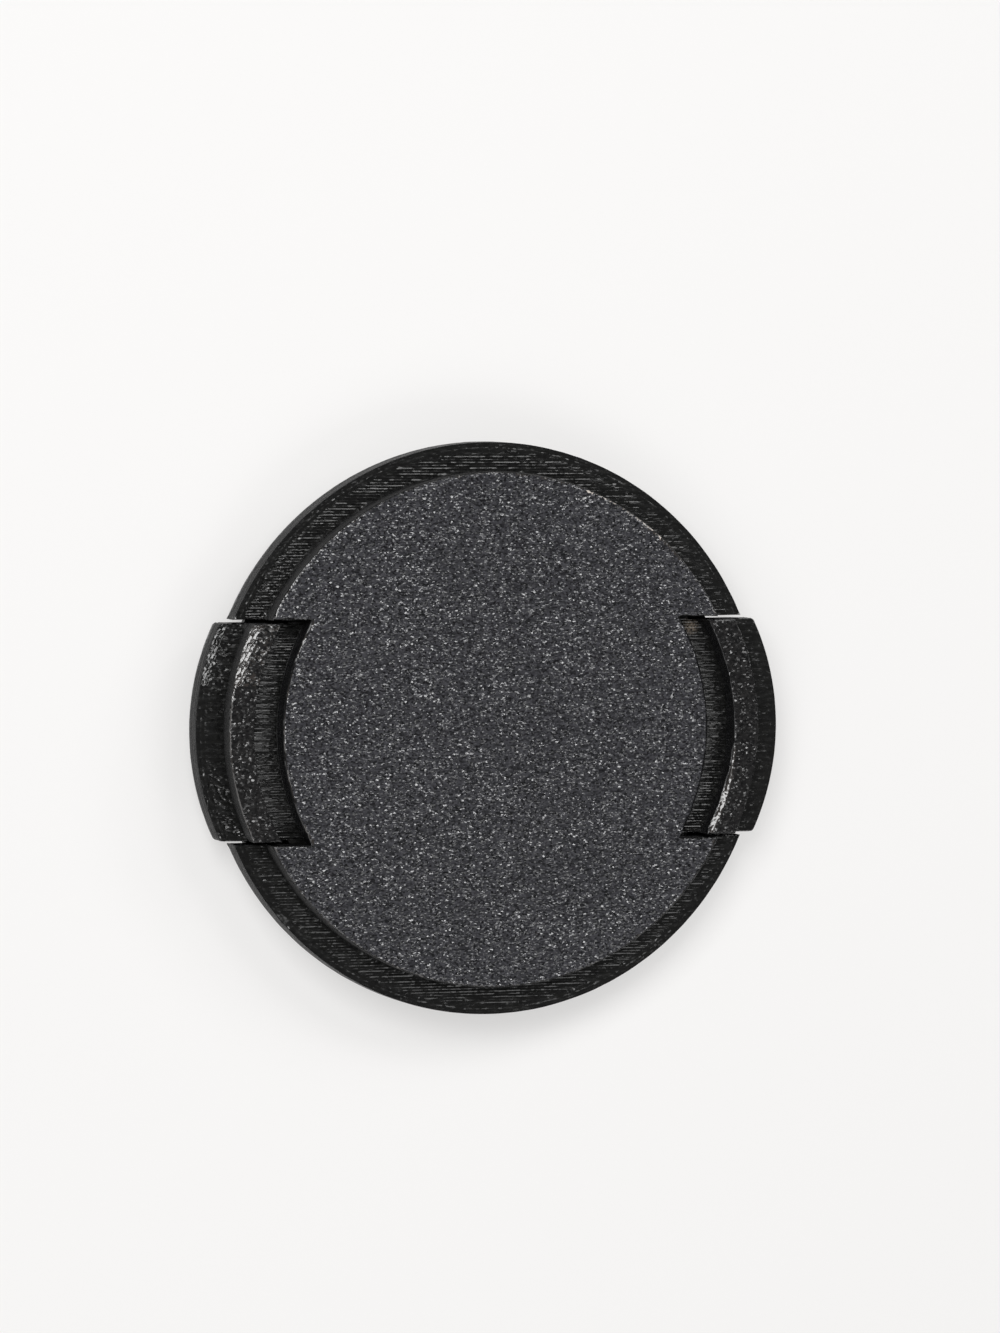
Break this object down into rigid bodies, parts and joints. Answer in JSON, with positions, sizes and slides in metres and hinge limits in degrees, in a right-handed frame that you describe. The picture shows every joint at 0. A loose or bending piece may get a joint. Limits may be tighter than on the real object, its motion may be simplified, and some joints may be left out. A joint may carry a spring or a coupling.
{
  "type": "camera lens cap",
  "caption": "Round clip-on lens cap with a raised grained face, stepped rim and two sprung pinch tabs whose thread catches grip a 52 mm filter ring.",
  "frame": {"origin": "on the cap's axis in the plane of its rear face, which it lies on", "axes": "+Z out of the front face, +X towards the right release tab, +Y towards the top of the face"},
  "size_m": [0.057, 0.054, 0.008],
  "materials": {
    "black_print": "black filament print, grained on the faces that lay on the plate",
    "spring_steel": "drawn spring wire"
  },
  "bodies": {
    "cap": {"front_cover": "black_print", "rear_plate": "black_print", "left_return_spring": "spring_steel", "right_return_spring": "spring_steel"},
    "left_tab": {"left_release_tab": "black_print"},
    "right_tab": {"right_release_tab": "black_print"}
  },
  "joints": [
    {"name": "left_tab_press", "type": "slide", "parent": "cap", "child": "left_tab", "axis": [1, 0, 0], "range_m": [0, 0.0022], "stiffness_N_per_m": 400, "springref_m": -0.001, "deforming": ["left_return_spring"]},
    {"name": "right_tab_press", "type": "slide", "parent": "cap", "child": "right_tab", "axis": [-1, 0, 0], "range_m": [0, 0.0022], "stiffness_N_per_m": 400, "springref_m": -0.001, "deforming": ["right_return_spring"]}
  ]
}
